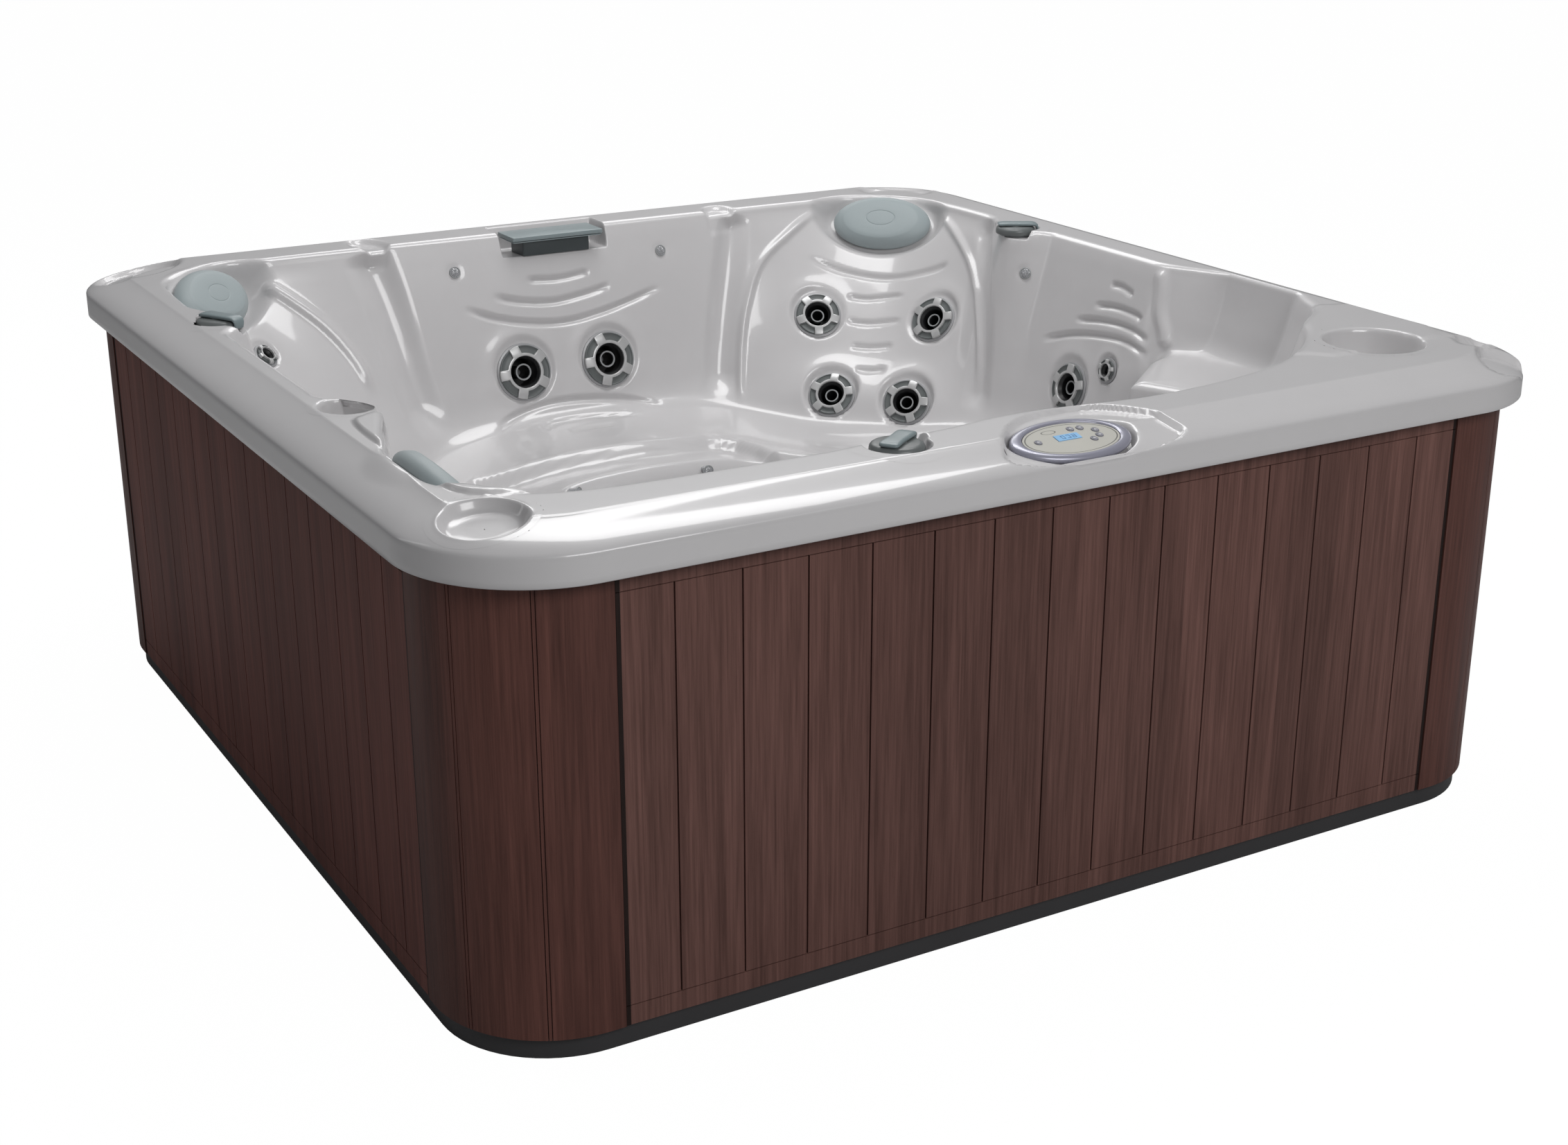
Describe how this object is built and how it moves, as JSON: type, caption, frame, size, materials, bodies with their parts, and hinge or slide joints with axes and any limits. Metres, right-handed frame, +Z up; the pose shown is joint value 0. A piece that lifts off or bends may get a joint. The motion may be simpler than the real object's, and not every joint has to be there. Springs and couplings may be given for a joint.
{
  "type": "hot tub",
  "caption": "Square acrylic hot tub with moulded seats, a footwell, turning massage jets, pillows, a waterfall, a control panel and a planked cabinet.",
  "frame": {"origin": "middle of the footprint, on the ground under the base pan", "axes": "+Z up; the side with the control panel faces -Y; +X is to the right of a person who faces that side"},
  "size_m": [2.134, 2.134, 0.8466],
  "materials": {
    "base_grey": "matte",
    "bezel_grey": "pearl",
    "black_plastic": "matte",
    "box_grey": "matte",
    "drain_brass": "satin",
    "button_grey": "satin",
    "cover_grey": "satin",
    "display_blue": "gloss",
    "face_champagne": "satin",
    "foam_blue": "matte",
    "heater_steel": "brushed",
    "hose_clear": "satin",
    "jet_grey": "satin",
    "lens_clear": "clear",
    "motor_paint": "painted",
    "nozzle_dark": "satin",
    "filter_white": "pleated",
    "pillow_foam": "soft satin",
    "pipe_white": "satin",
    "acrylic": "pearl gloss",
    "cabinet_brown": "wood-grained satin",
    "jet_steel": "polished",
    "trim_grey": "satin",
    "valve_grey": "matte",
    "frame_timber": "sawn"
  },
  "bodies": {
    "tub": {"shell": "acrylic", "base_pan": "base_grey", "footwell_support": "foam_blue", "frame_rails": "frame_timber", "frame_posts": "frame_timber", "panel_front": "cabinet_brown", "panel_back": "cabinet_brown", "panel_left": "cabinet_brown", "panel_right": "cabinet_brown", "corner_panel_near": "cabinet_brown", "corner_panel_left": "cabinet_brown", "corner_panel_far": "cabinet_brown", "corner_panel_right": "cabinet_brown", "pillow_far": "pillow_foam", "pillow_left": "pillow_foam", "pillow_near": "pillow_foam", "waterfall_body": "trim_grey", "waterfall_cap": "trim_grey", "diverter_valves": "valve_grey", "jet_bodies": "jet_grey", "jet_nozzles": "nozzle_dark", "light_lenses": "lens_clear", "suction_covers": "cover_grey", "control_bezel": "bezel_grey", "control_face": "face_champagne", "control_display": "display_blue", "pump_motor": "motor_paint", "pump_wet_end": "black_plastic", "heater": "heater_steel", "control_box": "box_grey", "water_manifold": "pipe_white", "air_manifold": "pipe_white", "suction_pipes": "pipe_white", "pressure_pipes": "pipe_white", "drain_hose": "hose_clear", "filter_housing": "box_grey", "filter_lid": "black_plastic", "filter_cartridge": "filter_white", "drain_valve": "drain_brass"},
    "jet_back_left": {"jet_back_left": "jet_steel"},
    "jet_back_right": {"jet_back_right": "jet_steel"},
    "jet_far_upper_left": {"jet_far_upper_left": "jet_steel"},
    "jet_far_upper_right": {"jet_far_upper_right": "jet_steel"},
    "jet_far_lower_left": {"jet_far_lower_left": "jet_steel"},
    "jet_far_lower_right": {"jet_far_lower_right": "jet_steel"},
    "jet_right_large": {"jet_right_large": "jet_steel"},
    "jet_right_small": {"jet_right_small": "jet_steel"},
    "jet_left_small": {"jet_left_small": "jet_steel"},
    "jet_near_left": {"jet_near_left": "jet_steel"},
    "jet_near_right": {"jet_near_right": "jet_steel"},
    "diverter_knob_front": {"diverter_knob_front": "trim_grey"},
    "diverter_knob_left": {"diverter_knob_left": "trim_grey"},
    "diverter_knob_right": {"diverter_knob_right": "trim_grey"},
    "button_temperature": {"button_temperature": "button_grey"},
    "button_jets": {"button_jets": "button_grey"},
    "button_pump": {"button_pump": "button_grey"},
    "button_light": {"button_light": "button_grey"},
    "button_up": {"button_up": "button_grey"},
    "button_down": {"button_down": "button_grey"},
    "drain_cap": {"drain_cap": "black_plastic"}
  },
  "joints": [
    {"name": "diverter_knob_front_turn", "type": "hinge", "parent": "tub", "child": "diverter_knob_front", "pos_m": [-0.275, -0.925, 0.817], "axis": [0, 0, 1], "range_deg": [-90, 90]},
    {"name": "diverter_knob_left_turn", "type": "hinge", "parent": "tub", "child": "diverter_knob_left", "pos_m": [-0.932, 0.396, 0.817], "axis": [0, 0, 1], "range_deg": [-90, 90]},
    {"name": "diverter_knob_right_turn", "type": "hinge", "parent": "tub", "child": "diverter_knob_right", "pos_m": [0.884, 0.376, 0.817], "axis": [0, 0, 1], "range_deg": [-90, 90]},
    {"name": "jet_back_left_turn", "type": "hinge", "parent": "tub", "child": "jet_back_left", "pos_m": [-0.14405, 0.80058, 0.537], "axis": [0.0005, -0.9712, 0.2385], "range_deg": [0, 90]},
    {"name": "jet_back_right_turn", "type": "hinge", "parent": "tub", "child": "jet_back_right", "pos_m": [0.06447, 0.80133, 0.54], "axis": [-0.0001, -0.9711, 0.2388], "range_deg": [0, 90]},
    {"name": "jet_far_upper_left_turn", "type": "hinge", "parent": "tub", "child": "jet_far_upper_left", "pos_m": [0.57644, 0.72729, 0.597], "axis": [-0.3437, -0.7356, 0.5838], "range_deg": [0, 90]},
    {"name": "jet_far_upper_right_turn", "type": "hinge", "parent": "tub", "child": "jet_far_upper_right", "pos_m": [0.767, 0.52714, 0.605], "axis": [-0.7673, -0.3277, 0.5513], "range_deg": [0, 90]},
    {"name": "jet_far_lower_left_turn", "type": "hinge", "parent": "tub", "child": "jet_far_lower_left", "pos_m": [0.54101, 0.60509, 0.437], "axis": [-0.5515, -0.5653, 0.6135], "range_deg": [0, 90]},
    {"name": "jet_far_lower_right_turn", "type": "hinge", "parent": "tub", "child": "jet_far_lower_right", "pos_m": [0.66496, 0.47607, 0.433], "axis": [-0.6009, -0.5885, 0.5409], "range_deg": [0, 90]},
    {"name": "jet_right_large_turn", "type": "hinge", "parent": "tub", "child": "jet_right_large", "pos_m": [0.82578, 0.08097, 0.538], "axis": [-0.9712, 0.0004, 0.2381], "range_deg": [0, 90]},
    {"name": "jet_right_small_turn", "type": "hinge", "parent": "tub", "child": "jet_right_small", "pos_m": [0.84077, -0.03083, 0.599], "axis": [-0.9694, 0.0035, 0.2454], "range_deg": [0, 90]},
    {"name": "jet_left_small_turn", "type": "hinge", "parent": "tub", "child": "jet_left_small", "pos_m": [-0.75119, 0.72037, 0.671], "axis": [0.4518, -0.5587, 0.6955], "range_deg": [0, 90]},
    {"name": "jet_near_left_turn", "type": "hinge", "parent": "tub", "child": "jet_near_left", "pos_m": [-0.85826, -0.36431, 0.59], "axis": [0.9878, -0.0691, 0.1398], "range_deg": [0, 90]},
    {"name": "jet_near_right_turn", "type": "hinge", "parent": "tub", "child": "jet_near_right", "pos_m": [-0.83371, -0.54142, 0.59], "axis": [0.8224, 0.3591, 0.4412], "range_deg": [0, 90]},
    {"name": "button_temperature_press", "type": "slide", "parent": "tub", "child": "button_temperature", "axis": [0, -0.225, 0.9744], "range_m": [-0.001, 0], "stiffness_N_per_m": 400},
    {"name": "button_jets_press", "type": "slide", "parent": "tub", "child": "button_jets", "axis": [0, -0.225, 0.9744], "range_m": [-0.001, 0], "stiffness_N_per_m": 400},
    {"name": "button_pump_press", "type": "slide", "parent": "tub", "child": "button_pump", "axis": [0, -0.225, 0.9744], "range_m": [-0.001, 0], "stiffness_N_per_m": 400},
    {"name": "button_light_press", "type": "slide", "parent": "tub", "child": "button_light", "axis": [0, -0.225, 0.9744], "range_m": [-0.001, 0], "stiffness_N_per_m": 400},
    {"name": "button_up_press", "type": "slide", "parent": "tub", "child": "button_up", "axis": [0, -0.225, 0.9744], "range_m": [-0.001, 0], "stiffness_N_per_m": 400},
    {"name": "button_down_press", "type": "slide", "parent": "tub", "child": "button_down", "axis": [0, -0.225, 0.9744], "range_m": [-0.001, 0], "stiffness_N_per_m": 400},
    {"name": "drain_cap_unscrew", "type": "hinge", "parent": "tub", "child": "drain_cap", "pos_m": [-0.85, -0.95, 0.06], "axis": [0, 0, 1], "continuous": true}
  ]
}
